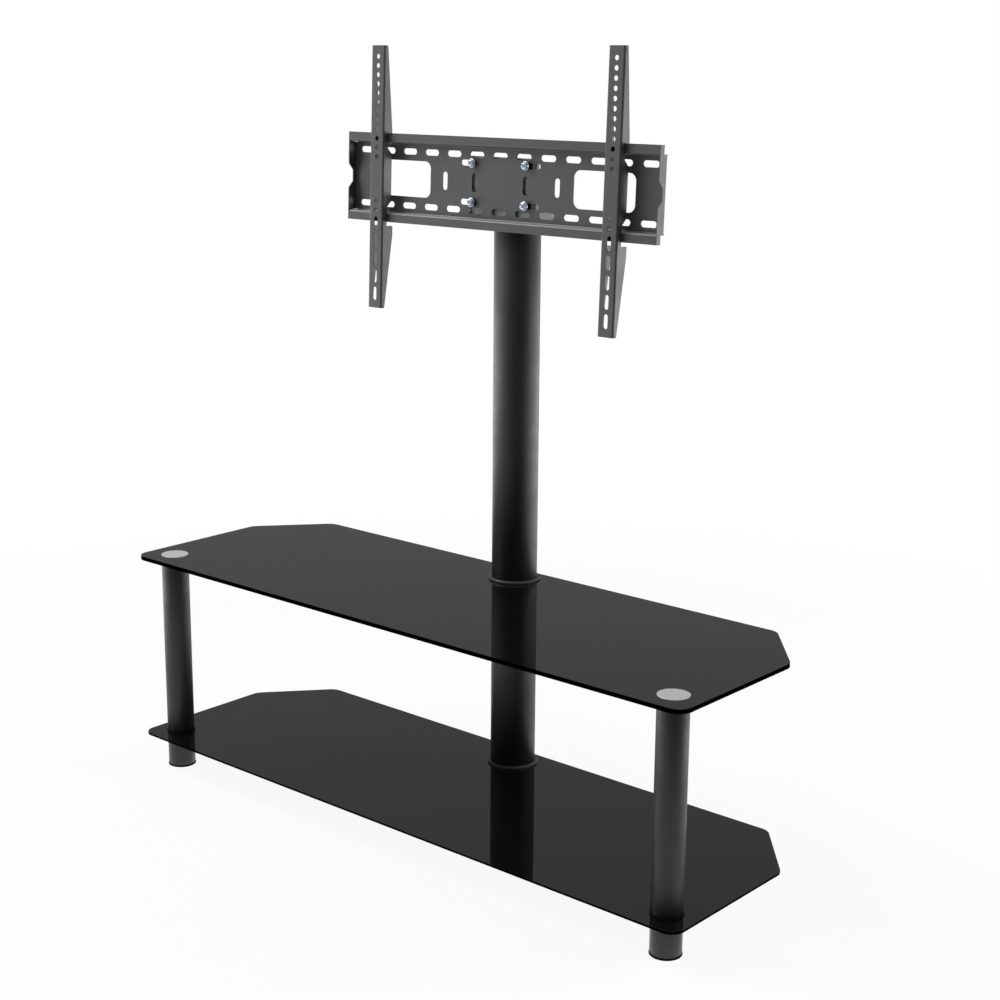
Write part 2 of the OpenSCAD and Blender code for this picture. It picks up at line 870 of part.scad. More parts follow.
// Arm: a channel bent from sheet, its sides cut with a taper, a hook over the upper lip
// and a step in front of the lower one
module arm(side) {
    half = arm_w / 2;
    depth = max(arm_low_d, arm_hook_d) + over;
    bend_out = arm_bend + arm_t;
    section = [[-half, depth], [-half, 0], [half, 0], [half, depth], [half - arm_t, depth],
        [half - arm_t, arm_t], [arm_t - half, arm_t], [arm_t - half, depth]];
    section_radii = [0, bend_out, bend_out, 0, 0, arm_bend, arm_bend, 0];
    front_d = arm_stand - slide_gap;
    hook_low = lip_top - finger_l;
    hook_front = arm_stand + rail_t + slide_gap;
    inner_z = shelf_z - recess_gap;
    low_z = lip_top + low_gap;
    outline = [[0, arm_up], [arm_top_d, arm_up], [arm_hook_d, lip_top + hook_land],
        [arm_hook_d, hook_low], [hook_front, hook_low], [hook_front, lip_top + slide_gap],
        [front_d, lip_top + slide_gap], [front_d, inner_z],
        [front_d + recess_bevel, inner_z - recess_bevel], [front_d + recess_bevel, recess_bevel - inner_z],
        [front_d, -inner_z], [front_d, -low_z], [arm_low_d, -low_z], [arm_low_d, -low_z - low_land],
        [arm_foot_d, -arm_down], [0, -arm_down]];
    outline_radii = [0, arm_edge_r, 0, arm_edge_r, arm_edge_r, 0, 0, 0, arm_edge_r, arm_edge_r, 0, 0,
        arm_edge_r, arm_edge_r, arm_edge_r, 0];
    color(head_grey)
        at_rail()
            translate([side > 0 ? right_arm_x : -left_arm_x, -rail_depth - arm_stand, 0])
                difference() {
                    intersection() {
                        translate([0, 0, -arm_down])
                            linear_extrude(arm_up + arm_down)
                                polygon(rounded(section, section_radii, bend_steps));
                        along_x(arm_w + 2 * over)
                            polygon(rounded(outline, outline_radii, bend_steps));
                    }
                    for (k = round_holes)
                        translate([0, 0, hole_z(k)])
                            rotate([90, 0, 0])
                                cylinder(h = 4 * arm_t, d = hole_dia, center = true);
                    for (k = slot_holes)
                        translate([0, 0, hole_z(k) - hole_pitch / 2])
                            along_y(4 * arm_t)
                                rotate(90)
                                    slot_shape(hole_pitch + hole_dia, hole_dia);
                }
}

upper_glass();
lower_glass();
leg_cap(-1);  // left_leg_cap
leg_cap(1);  // right_leg_cap
leg_tube(-1);  // left_leg_tube
leg_tube(1);  // right_leg_tube
leg_rod(-1);  // left_leg_rod
leg_rod(1);  // right_leg_rod
at_leg(-1) leg_plug(leg_top_z, false);  // left_leg_top_plug
at_leg(1) leg_plug(leg_top_z, false);  // right_leg_top_plug
at_leg(-1) leg_plug(leg_low_z, true);  // left_leg_bottom_plug
at_leg(1) leg_plug(leg_low_z, true);  // right_leg_bottom_plug
leg_seal(-1);  // left_leg_seal
leg_seal(1);  // right_leg_seal
leg_ring(-1);  // left_leg_ring
leg_ring(1);  // right_leg_ring
foot_seal(-1);  // left_foot_seal
foot_seal(1);  // right_foot_seal
foot_tube(-1);  // left_foot_tube
foot_tube(1);  // right_foot_tube
at_leg(-1) leg_plug(foot_top_z, false);  // left_foot_plug
at_leg(1) leg_plug(foot_top_z, false);  // right_foot_plug
at_leg(-1) foot_pad(leg_dia / 2, leg_in_r);  // left_foot_pad
at_leg(1) foot_pad(leg_dia / 2, leg_in_r);  // right_foot_pad
column_tube();
column_bay_tube();
column_foot_tube();
collar(upper_top_z);  // upper_collar
collar(lower_top_z);  // lower_collar
column_seal();
column_foot_seal();
column_rod();
column_plug(column_low_z, true);  // column_tube_plug
column_plug(leg_top_z, false);  // bay_tube_top_plug
column_plug(bay_low_z, true);  // bay_tube_bottom_plug
column_plug(foot_top_z, false);  // column_foot_plug
at_column() foot_pad(column_dia / 2, column_in_r);  // column_foot_pad
column_cap();
swivel_washer();
swivel_yoke();
swivel_bolt();
swivel_nut();
tilt_bolt();
tilt_nut();
head_plate();
mount_rail();
rail_screw(-1, 1);  // upper_left_screw
rail_screw(1, 1);  // upper_right_screw
rail_screw(-1, -1);  // lower_left_screw
rail_screw(1, -1);  // lower_right_screw
screw_sleeves();
rail_spacers();
screw_nuts();
arm(-1);  // left_arm
arm(1);  // right_arm
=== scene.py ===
"""Looks of a television floor stand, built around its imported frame. Lengths are in metres."""
import json
import math

import bmesh
import bpy
from mathutils import Matrix, Vector


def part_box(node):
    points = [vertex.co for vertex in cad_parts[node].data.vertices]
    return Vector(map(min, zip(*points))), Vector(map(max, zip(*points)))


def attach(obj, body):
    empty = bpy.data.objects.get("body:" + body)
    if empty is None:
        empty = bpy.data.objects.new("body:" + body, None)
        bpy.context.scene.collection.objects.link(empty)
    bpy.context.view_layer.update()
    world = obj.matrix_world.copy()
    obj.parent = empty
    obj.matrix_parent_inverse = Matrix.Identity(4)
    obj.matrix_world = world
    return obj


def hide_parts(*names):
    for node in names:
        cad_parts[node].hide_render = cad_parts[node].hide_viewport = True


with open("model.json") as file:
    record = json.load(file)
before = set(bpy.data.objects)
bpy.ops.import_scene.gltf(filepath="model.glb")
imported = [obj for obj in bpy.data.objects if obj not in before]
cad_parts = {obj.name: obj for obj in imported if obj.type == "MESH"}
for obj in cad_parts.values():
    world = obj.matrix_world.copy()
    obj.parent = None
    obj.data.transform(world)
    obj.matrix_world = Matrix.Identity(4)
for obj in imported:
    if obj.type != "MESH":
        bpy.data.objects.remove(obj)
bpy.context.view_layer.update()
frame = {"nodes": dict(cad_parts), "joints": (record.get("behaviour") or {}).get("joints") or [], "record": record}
NODES = frame["nodes"]

# Sizes from the CAD source

LEAN = math.radians(2)
RAIL_LEAD, RAIL_RISE = 0.0522, 0.0182
RAIL_T = 0.002
LEDGE_LOW, LEDGE_HIGH = 0.0144, 0.0204  # above the rail's lowest edge
HEAD_GAP = 0.004
HEAD_T = 0.003
PLATE_BACK = RAIL_T + HEAD_GAP + HEAD_T
EAR_GAP = 0.0005
SLEEVE_L = 0.005
SCREW_X, SCREW_Z = 0.0638, 0.0354
SCREW_R = 0.004
SCREW_NUT_H = 0.0065
YOKE_T = 0.004
TILT_BOLT_R = 0.005
SWIVEL_BOLT_R = 0.006

# Places and sizes that the frame tells

foot_low, foot_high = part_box("right_foot_tube")
LEG_X, LEG_Y = ((foot_low + foot_high) / 2).xy
LEG_FOOT_R = (foot_high.x - foot_low.x) / 2
tilt_place = next(joint["pos_m"] for joint in frame["joints"] if joint["name"] == "head_tilt")
COLUMN_Y, TILT_Z = tilt_place[1:]
yoke_low, yoke_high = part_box("swivel_yoke")
YOKE_HALF = yoke_high.x
EAR_X = YOKE_HALF - YOKE_T - EAR_GAP - HEAD_T / 2
YOKE_FLOOR_Z = yoke_low.z + YOKE_T
SWIVEL_END_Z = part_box("swivel_bolt")[0].z
RAIL_LOW_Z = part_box("mount_rail")[0].z


# Node graphs

WORN_LOW, WORN_HIGH = 0.02, 0.22
BEVEL_SAMPLES = 6


class Graph:
    """A small builder of shader graphs."""

    def __init__(self, tree):
        self.tree = tree
        tree.nodes.clear()

    def add(self, kind, inputs=(), **settings):
        node = self.tree.nodes.new(kind)
        for key, value in settings.items():
            setattr(node, key, value)
        for key, value in dict(inputs).items():
            if isinstance(value, bpy.types.NodeSocket):
                self.tree.links.new(value, node.inputs[key])
            else:
                node.inputs[key].default_value = value
        return node

    def math(self, operation, a, b=0.0):
        return self.add("ShaderNodeMath", {0: a, 1: b}, operation=operation).outputs[0]

    def vector(self, operation, a, b=(0.0, 0.0, 0.0)):
        node = self.add("ShaderNodeVectorMath", {0: a, 1: b}, operation=operation)
        return node.outputs["Value" if operation in ("DOT_PRODUCT", "LENGTH") else "Vector"]

    def ramp(self, value, low, high, to_low=0.0, to_high=1.0):
        """value mapped from low..high to to_low..to_high, smooth at both ends."""
        inputs = {"Value": value, "From Min": low, "From Max": high,
                  "To Min": to_low, "To Max": to_high}
        node = self.add("ShaderNodeMapRange", inputs, interpolation_type="SMOOTHSTEP")
        return node.outputs["Result"]

    def mix(self, factor, a, b):
        """A colour between a and b."""
        return self.add("ShaderNodeMix", {0: factor, 6: a, 7: b}, data_type="RGBA").outputs[2]

    def blend(self, factor, a, b):
        """A number between a and b."""
        return self.add("ShaderNodeMix", {0: factor, 2: a, 3: b}, data_type="FLOAT").outputs[0]

    def noise(self, vector, scale, detail=3.0, roughness=0.55):
        inputs = {"Vector": vector, "Scale": scale, "Detail": detail, "Roughness": roughness}
        return self.add("ShaderNodeTexNoise", inputs).outputs["Fac"]

    def objects_place(self):
        return self.add("ShaderNodeTexCoord").outputs["Object"]

    def stretched(self, vector, scale, turn=0.0):
        """vector turned about Z and scaled along each axis."""
        inputs = {"Vector": vector, "Rotation": (0.0, 0.0, turn), "Scale": scale}
        return self.add("ShaderNodeMapping", inputs).outputs["Vector"]

    def bump(self, height, distance, strength, normal=None):
        inputs = {"Height": height, "Distance": distance, "Strength": strength}
        if normal is not None:
            inputs["Normal"] = normal
        return self.add("ShaderNodeBump", inputs).outputs["Normal"]

    def worn_edge(self, radius):
        """1 on outer edges, 0 elsewhere: how far a rounded normal leaves the true one."""
        rounded = self.add("ShaderNodeBevel", {"Radius": radius}, samples=BEVEL_SAMPLES)
        true = self.add("ShaderNodeNewGeometry").outputs["True Normal"]
        alike = self.vector("DOT_PRODUCT", rounded.outputs["Normal"], true)
        return self.ramp(self.math("SUBTRACT", 1.0, alike), WORN_LOW, WORN_HIGH)


def grey(value, tint=(1.0, 1.0, 1.0)):
    return (value * tint[0], value * tint[1], value * tint[2], 1.0)


def new_material(name):
    mat = bpy.data.materials.new(name)
    mat.use_nodes = True
    return mat, Graph(mat.node_tree)


def finish_material(g, **inputs):
    shader = g.add("ShaderNodeBsdfPrincipled", inputs)
    g.add("ShaderNodeOutputMaterial", {"Surface": shader.outputs["BSDF"]})


# Materials

PAINT_IOR, GLASS_IOR, MOULD_IOR = 1.5, 1.5, 1.45
PAINT_WEAR_R, STEEL_WEAR_R = 0.0009, 0.0004
PAINT_CLOUDS, PAINT_RUBS = 9.0, 22.0  # scales of noise, as are the other marks' numbers
FLECK_SHARE, SWELL_SHARE = 0.35, 0.14  # shares of the grain's scale
GLASS_GREY, DUST_GREY = 0.0035, 0.05
GLASS_EDGE_GREYS = (0.0004, 0.0014)
WIPE_STRETCH, WIPE_TURN, WIPES = (2.2, 9.0, 9.0), 0.5, 1.6
DUST, GLASS_WAVES = 900.0, 5.0
GRINDING = (6.0, 6.0, 2600.0)
CAP_TINT = (1.0, 1.0, 0.995)
CAP_GREYS, CAP_DULL = (0.56, 0.68), 0.5
CAP_METALLIC = 0.35
CAP_RINGS, CAP_ARCS, CAP_CLOUDS = 3400.0, 0.7, 60.0
SPANGLE = 900.0
SCRATCHES = (5000.0, 700.0, 900.0)
MOULD_CLOUDS = 30.0


def powder_coat(name, colour, tint, roughness, grain, grain_depth, worn, specular=0.5):
    """Satin powder coat: orange-peel grain, faint mottling, and edges rubbed a little lighter."""
    mat, g = new_material(name)
    place = g.objects_place()
    cloud = g.ramp(g.noise(place, PAINT_CLOUDS, 4.0), 0.3, 0.7)
    fleck = g.ramp(g.noise(place, grain * FLECK_SHARE, 2.0), 0.35, 0.75, 0.0, 0.22)
    wear = g.math("MULTIPLY", g.worn_edge(PAINT_WEAR_R), worn)
    base = g.mix(cloud, grey(colour * 0.93, tint), grey(colour * 1.08, tint))
    base = g.mix(fleck, base, grey(colour * 1.5, tint))
    base = g.mix(wear, base, grey(colour * 2.3 + 0.02, tint))
    rub = g.noise(place, PAINT_RUBS, 5.0)
    rough = g.ramp(rub, 0.25, 0.75, roughness - 0.045, roughness + 0.055)
    peel = g.noise(place, grain, 2.0, 0.6)
    swell = g.noise(place, grain * SWELL_SHARE, 2.0, 0.5)
    normal = g.bump(swell, grain_depth * 2.2, 0.35, g.bump(peel, grain_depth, 0.55))
    finish_material(g, **{"Base Color": base, "Roughness": rough, "Normal": normal,
                          "IOR": PAINT_IOR, "Specular IOR Level": specular})
    return mat


def black_glass():
    """Polished black tempered glass with faint wiping marks and a trace of dust."""
    mat, g = new_material("black_glass")
    place = g.objects_place()
    wipe = g.noise(g.stretched(place, WIPE_STRETCH, WIPE_TURN), WIPES, 6.0, 0.62)
    speck = g.noise(place, DUST, 1.0)
    rough = g.math("ADD", g.ramp(wipe, 0.42, 0.8, 0.012, 0.05),
                   g.ramp(speck, 0.72, 0.84, 0.0, 0.05))
    base = g.mix(g.ramp(speck, 0.76, 0.86, 0.0, 0.12), grey(GLASS_GREY), grey(DUST_GREY))
    wave = g.noise(place, GLASS_WAVES, 1.0, 0.4)
    finish_material(g, **{"Base Color": base, "Roughness": rough, "IOR": GLASS_IOR,
                          "Normal": g.bump(wave, 0.00012, 0.25)})
    return mat


def glass_edge():
    """The ground and polished edge of the black glass: fine grinding lines along it."""
    mat, g = new_material("glass_edge")
    grind = g.noise(g.stretched(g.objects_place(), GRINDING), 1.0, 3.0)
    rough = g.ramp(grind, 0.3, 0.7, 0.1, 0.2)
    base = g.mix(grind, *[grey(value) for value in GLASS_EDGE_GREYS])
    finish_material(g, **{"Base Color": base, "Roughness": rough, "IOR": GLASS_IOR,
                          "Normal": g.bump(grind, 0.00002, 0.4), "Specular IOR Level": 0.0})
    return mat


def spun_metal():
    """Aluminium caps turned on a lathe: fine rings round each leg's axis."""
    mat, g = new_material("cap_metal")
    split = g.add("ShaderNodeSeparateXYZ", {0: g.objects_place()})
    side = g.math("SUBTRACT", g.math("ABSOLUTE", split.outputs[0]), LEG_X)
    fore = g.math("SUBTRACT", split.outputs[1], LEG_Y)
    square = g.math("ADD", g.math("MULTIPLY", side, side), g.math("MULTIPLY", fore, fore))
    radius = g.math("MULTIPLY", g.math("SQRT", square), CAP_RINGS)
    angle = g.math("MULTIPLY", g.math("ARCTAN2", fore, side), CAP_ARCS)
    across = g.add("ShaderNodeCombineXYZ", {0: radius, 1: angle})
    rings = g.noise(across.outputs[0], 1.0, 4.0, 0.7)
    cloud = g.noise(g.objects_place(), CAP_CLOUDS, 3.0)
    base = g.mix(g.ramp(rings, 0.3, 0.7), *[grey(value, CAP_TINT) for value in CAP_GREYS])
    base = g.mix(g.ramp(cloud, 0.4, 0.7, 0.0, 0.15), base, grey(CAP_DULL))
    rough = g.ramp(rings, 0.25, 0.75, 0.36, 0.5)
    finish_material(g, **{"Base Color": base, "Metallic": CAP_METALLIC, "Roughness": rough,
                          "Normal": g.bump(rings, 0.00003, 0.5)})
    return mat


def plated_steel(name, colour, tint, roughness, metallic=1.0):
    """Zinc-plated or bare steel: spangle, fine scratches and dulled edges."""
    mat, g = new_material(name)
    place = g.objects_place()
    cells = g.add("ShaderNodeTexVoronoi", {"Vector": place, "Scale": SPANGLE}).outputs["Color"]
    value = g.add("ShaderNodeSeparateColor", {0: cells}).outputs[0]
    base = g.mix(g.ramp(value, 0.0, 1.0), grey(colour * 0.86, tint), grey(colour * 1.12, tint))
    marks = g.noise(g.stretched(place, SCRATCHES), 1.0, 2.0)
    rough = g.ramp(marks, 0.3, 0.75, roughness - 0.06, roughness + 0.1)
    wear = g.math("MULTIPLY", g.worn_edge(STEEL_WEAR_R), 0.35)
    base = g.mix(wear, base, grey(min(1.0, colour * 1.5), tint))
    finish_material(g, **{"Base Color": base, "Metallic": metallic, "Roughness": rough,
                          "Normal": g.bump(marks, 0.00002, 0.4)})
    return mat


def moulded(name, colour, roughness, grain, specular=0.5):
    """Moulded rubber or nylon with a fine matt grain."""
    mat, g = new_material(name)
    place = g.objects_place()
    pores = g.noise(place, grain, 3.0)
    cloud = g.noise(place, MOULD_CLOUDS, 3.0)
    base = g.mix(g.ramp(cloud, 0.3, 0.7), grey(colour * 0.85), grey(colour * 1.2))
    rough = g.ramp(pores, 0.3, 0.7, roughness - 0.08, roughness + 0.08)
    finish_material(g, **{"Base Color": base, "Roughness": rough, "IOR": MOULD_IOR,
                          "Normal": g.bump(pores, 0.00006, 0.5), "Specular IOR Level": specular})
    return mat


TUBE_COAT = {"tint": (1.0, 1.0, 1.03), "grain": 1500.0, "grain_depth": 0.00003, "worn": 0.25}
PLATE_COAT = {"tint": (1.0, 1.0, 1.01), "grain": 1300.0, "grain_depth": 0.00005}
HEAD_COAT = {**PLATE_COAT, "roughness": 0.45, "worn": 0.4, "specular": 0.4}
ZINC_TINT = (0.84, 0.96, 1.12)
PLAIN_TINT = (1.0, 1.0, 1.0)

MATERIALS = {
    "black_glass": black_glass(),
    "tube_paint": powder_coat("tube_paint", 0.0035, roughness=0.5, **TUBE_COAT),
    "foot_paint": powder_coat("foot_paint", 0.0035, roughness=0.36, **TUBE_COAT),
    # Painted highlight: the collars wear a lighter copy of the black tube paint, so their tops catch a brighter
    # highlight
    "collar_painted_highlight": powder_coat("collar_painted_highlight", 0.03, roughness=0.4, **TUBE_COAT),
    "head_paint": powder_coat("head_paint", 0.062, **HEAD_COAT),
    "rail_paint": powder_coat("rail_paint", 0.053, **HEAD_COAT),
    # Painted highlight: a lighter copy of the rail's paint for the up-facing faces of the lower ledge, where light
    # from above catches the bend
    "ledge_painted_highlight": powder_coat("ledge_painted_highlight", 0.2, **HEAD_COAT),
    # Painted light: a much lighter copy of the head's paint for the head plate's front faces, standing in for
    # light that reaches the plate through the rail's slots
    "plate_painted_light": powder_coat("plate_painted_light", 0.25, roughness=0.5, worn=0.1, **PLATE_COAT),
    "cap_metal": spun_metal(),
    "zinc_steel": plated_steel("zinc_steel", 0.62, ZINC_TINT, roughness=0.3, metallic=0.5),
    "plain_steel": plated_steel("plain_steel", 0.38, PLAIN_TINT, roughness=0.38),
    "black_rubber": moulded("black_rubber", 0.003, roughness=0.7, grain=1800.0, specular=0.1),
    "nylon": moulded("nylon", 0.62, roughness=0.5, grain=1400.0),
    "glass_edge": glass_edge(),
}

# Nodes whose paint differs from that of their slot
OWN_LOOKS = {
    "mount_rail": "rail_paint",
    "left_foot_tube": "foot_paint",
    "right_foot_tube": "foot_paint",
    "column_foot_tube": "foot_paint",
    # Collars: a lighter copy of the tube paint, a painted highlight
    "upper_collar": "collar_painted_highlight",
    "lower_collar": "collar_painted_highlight",
    # Painted shade: the spacers, zinc steel in their slot, are drawn black so the necks under the screw heads look
    # shaded
    "rail_spacers": "black_rubber",
}


# CAD nodes: their materials, and edges softened as the real ones are

BEVELS = {"black_glass": 0.0009, "head_paint": 0.00045, "tube_paint": 0.0003}
WELD_DISTANCE = 0.000002
BEVEL_ANGLE = math.radians(50)
GLASS_SIDE, LEDGE_UP, PLATE_FRONT = 0.5, 0.3, -0.9
slot_of = {s["node"]: s["material_slot"] for s in frame["record"]["subparts"]}


def soften(obj, width, rim):
    """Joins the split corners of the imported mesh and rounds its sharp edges."""
    weld = obj.modifiers.new("join_corners", "WELD")
    weld.merge_threshold = WELD_DISTANCE
    bevel = obj.modifiers.new("edge_round", "BEVEL")
    bevel.width = width
    bevel.segments = 2
    bevel.limit_method = "ANGLE"
    bevel.angle_limit = BEVEL_ANGLE
    bevel.use_clamp_overlap = True
    bevel.harden_normals = True
    bevel.material = rim


def paint_faces(obj, material, wanted):
    """Gives material to the faces that wanted picks; the others keep the first one."""
    obj.data.materials.append(material)
    for face in obj.data.polygons:
        face.material_index = 1 if wanted(face) else 0


def on_glass_side(face):
    return abs(face.normal.z) < GLASS_SIDE


# Picks the up-facing faces of the lower ledge, which wear a painted highlight
def on_lower_ledge(face):
    return face.normal.z > LEDGE_UP and LEDGE_LOW < face.center.z - RAIL_LOW_Z < LEDGE_HIGH


def on_plate_front(face):
    return face.normal.y < PLATE_FRONT


# The second look of a node and the faces that wear it
FACE_LOOKS = {
    "upper_glass": ("glass_edge", on_glass_side),
    "lower_glass": ("glass_edge", on_glass_side),
    # Painted highlight on the up-facing faces of the rail's lower ledge
    "mount_rail": ("ledge_painted_highlight", on_lower_ledge),
    # Painted light on the head plate's front faces, seen through the rail's slots
    "head_plate": ("plate_painted_light", on_plate_front),
}

for node_name, obj in NODES.items():
    slot = slot_of[node_name]
    obj.data.materials.clear()
    obj.data.materials.append(MATERIALS[OWN_LOOKS.get(node_name, slot)])
    if node_name in FACE_LOOKS:
        look, wanted = FACE_LOOKS[node_name]
        paint_faces(obj, MATERIALS[look], wanted)


# Transforms of the head, as in the CAD source

HEAD = (Matrix.Translation((0, COLUMN_Y, TILT_Z)) @ Matrix.Rotation(-LEAN, 4, "X")
        @ Matrix.Translation((0, -RAIL_LEAD, RAIL_RISE)))


def screw_place(side, row, depth):
    """Local Z points out of the rail's face; the origin lies depth behind that face."""
    spot = Matrix.Translation((side * SCREW_X, depth, row * SCREW_Z))
    return HEAD @ spot @ Matrix.Rotation(math.pi / 2, 4, "X")


# Mesh making

LATHE_STEPS = 64
BOLT_STEPS = 48
SCREW_STEPS = 40
RIM_STEPS = 96
HEX_STEPS = 72
AXIS_TOLERANCE = 1e-9
LAP = 0.0002  # how far one form of a piece runs into the next
SMOOTH_ANGLE = 35.0
THREAD_SHAPE = ((-0.5, 0.0), (-0.12, 1.0), (0.12, 1.0), (0.5, 0.0))  # shares of pitch and depth


def shown(name, data):
    """A new object of the scene that shows data."""
    obj = bpy.data.objects.new(name, data)
    bpy.context.scene.collection.objects.link(obj)
    return obj


def mesh_from(bm, name):
    mesh = bpy.data.meshes.new(name)
    bm.to_mesh(mesh)
    bm.free()
    return mesh


def new_object(name, bm, slot, place=Matrix.Identity(4), smooth_angle=SMOOTH_ANGLE):
    """A piece in the look of its slot, shaded smooth up to smooth_angle."""
    bmesh.ops.recalc_face_normals(bm, faces=bm.faces)
    mesh = mesh_from(bm, name)
    mesh.materials.append(MATERIALS[slot])
    for face in mesh.polygons:
        face.use_smooth = True
    mesh.set_sharp_from_angle(angle=math.radians(smooth_angle))
    obj = shown(name, mesh)
    obj.matrix_world = place
    return obj


def absorb(bm, part):
    """Moves all of part into bm."""
    mesh = mesh_from(part, "part")
    bm.from_mesh(mesh)
    bpy.data.meshes.remove(mesh)


def ring_round_z(bm, radius_at, height, steps):
    """A ring of vertices whose radius depends on the angle."""
    ring = []
    for k in range(steps):
        angle = 2 * math.pi * k / steps
        r = radius_at(angle)
        ring.append(bm.verts.new((r * math.cos(angle), r * math.sin(angle), height)))
    return ring


def bridge(bm, a, b):
    """Faces between two closed rings. A ring of one vertex is a tip."""
    steps = max(len(a), len(b))
    for k in range(steps):
        j = (k + 1) % steps
        corners = [a[k % len(a)], a[j % len(a)], b[j % len(b)], b[k % len(b)]]
        unique = [v for i, v in enumerate(corners) if v not in corners[:i]]
        if len(unique) > 2:
            bm.faces.new(unique)


def lathe(bm, profile, steps=LATHE_STEPS):
    """Turns (radius, height) points round Z. A point on the axis closes the form."""
    rings = []
    for radius, height in profile:
        if radius < AXIS_TOLERANCE:
            rings.append([bm.verts.new((0, 0, height))])
        else:
            rings.append(ring_round_z(bm, lambda angle: radius, height, steps))
    for a, b in zip(rings, rings[1:]):
        bridge(bm, a, b)


def cylinder(bm, radius, low, high, steps=LATHE_STEPS):
    lathe(bm, [(0, low), (radius, low), (radius, high), (0, high)], steps)


def thread(bm, radius, low, high, pitch, depth, steps):
    """A closed threaded shank: one helical ridge whose ends run out."""
    count = int((high - low) / pitch * steps)
    core = radius - depth
    rows = []
    for i in range(count + 1):
        angle = 2 * math.pi * i / steps
        z = low + (high - low) * i / count
        fade = min(1.0, i / steps, (count - i) / steps)
        row = []
        for shift, lift in THREAD_SHAPE:
            r = core + depth * lift * fade
            height = min(high, max(low, z + shift * pitch))
            row.append(bm.verts.new((r * math.cos(angle), r * math.sin(angle), height)))
        rows.append(row)
    for a, b in zip(rows, rows[1:]):
        for k in range(len(THREAD_SHAPE) - 1):
            bm.faces.new((a[k], a[k + 1], b[k + 1], b[k]))
    cylinder(bm, core, low, high, steps)


HEX_CHAMFER = 0.58  # the chamfer's height as a share of its depth at a corner
HEX_FACE = 0.965  # the round end face's radius as a share of the flats'
HEX_SHOULDER, HEX_SHOULDER_DROP = 0.995, 0.15
HEX_LEVELS = (0.25, 0.5, 0.75, 1.0)


def hex_prism(bm, width, low, high, chamfer_low, chamfer_high, bore=0.0):
    """A hexagon whose corners are turned off by a cone at either end, with an optional bore."""
    across = width / 2
    corner = across / math.cos(math.pi / 6)
    drop = (corner - across) * HEX_CHAMFER

    def flat_radius(angle):
        return across / math.cos((angle + math.pi / 6) % (math.pi / 3) - math.pi / 6)

    def chamfer(end, way):
        """Levels (height, reach) from the end face to the full hexagon."""
        levels = [(end, HEX_FACE * across),
                  (end + way * drop * HEX_SHOULDER_DROP, across * HEX_SHOULDER)]
        return levels + [(end + way * drop * t, across + (corner - across) * t)
                         for t in HEX_LEVELS]

    levels = chamfer(low, 1) if chamfer_low else [(low, corner)]
    levels += chamfer(high, -1)[::-1] if chamfer_high else [(high, corner)]
    rings = []
    for height, reach in levels:
        rings.append(ring_round_z(bm, lambda angle: min(flat_radius(angle), reach),
                                  height, HEX_STEPS))
    for a, b in zip(rings, rings[1:]):
        bridge(bm, a, b)
    if not bore:
        bm.faces.new(rings[0])
        bm.faces.new(rings[-1])
        return
    mouths = []
    for ring, height in ((rings[0], low), (rings[-1], high)):
        mouths.append(ring_round_z(bm, lambda angle: bore, height, HEX_STEPS))
        bridge(bm, ring, mouths[-1])
    bridge(bm, *mouths)


# Cross-head rail screws: flanged pan head, tapered cross recess, plain and threaded shank

SCREW_HEAD_R, SCREW_HEAD_H = 0.00825, 0.0065
FLANGE_CHAMFER, FLANGE_H, FLANGE_ROUND = 0.0003, 0.0011, 0.0004
NECK_R, NECK_H = 0.0071, 0.0017
DOME_R, DOME_LOW = 0.0070, 0.0021
DOME_STEPS, DOME_POWER = 12, 0.65
CROSS_ABOVE, CROSS_DEPTH = 0.0012, 0.0036
CROSS_MOUTH = (0.0062, 0.00145)  # reach and half width of an arm
CROSS_FLOOR = (0.0018, 0.0006)
SCREW_PAST_NUT = 0.002
SCREW_SHANK = SLEEVE_L + PLATE_BACK + SCREW_NUT_H + SCREW_PAST_NUT
PLAIN_SHANK = 0.0125
SCREW_THREAD = (0.00125, 0.00055)  # pitch and depth
SCREW_NUT_W = 0.013
THREAD_SLACK = 0.00005
NUT_TURN_BY_SIDE, NUT_TURN_BY_ROW = 0.35, 0.2
CROSS_TURNS = {"upper_left_screw": 0.62, "upper_right_screw": 0.95,
               "lower_left_screw": 0.7, "lower_right_screw": 0.86}


def cut_with(obj, cutter):
    """Takes cutter's volume out of obj for good."""
    boolean = obj.modifiers.new("cut", "BOOLEAN")
    boolean.operation = "DIFFERENCE"
    boolean.solver = "EXACT"
    boolean.object = cutter
    bpy.context.view_layer.update()
    graph = bpy.context.evaluated_depsgraph_get()
    made = bpy.data.meshes.new_from_object(obj.evaluated_get(graph))
    obj.modifiers.clear()
    obj.data = made
    bpy.data.objects.remove(cutter)


def cross_cutter():
    """A tapered cross in one piece, wide at the mouth."""
    bm = bmesh.new()
    outlines = []
    for height, (reach, half) in ((SCREW_HEAD_H + CROSS_ABOVE, CROSS_MOUTH),
                                  (SCREW_HEAD_H - CROSS_DEPTH, CROSS_FLOOR)):
        quarter = [(reach, -half), (reach, half), (half, half)]
        ring = quarter + [(-y, x) for x, y in quarter]
        ring += [(-x, -y) for x, y in quarter] + [(y, -x) for x, y in quarter]
        outlines.append([bm.verts.new((x, y, height)) for x, y in ring])
    bridge(bm, *outlines)
    bm.faces.new(outlines[0])
    bm.faces.new(outlines[1][::-1])
    bmesh.ops.recalc_face_normals(bm, faces=bm.faces)
    return shown("cutter", mesh_from(bm, "cutter"))


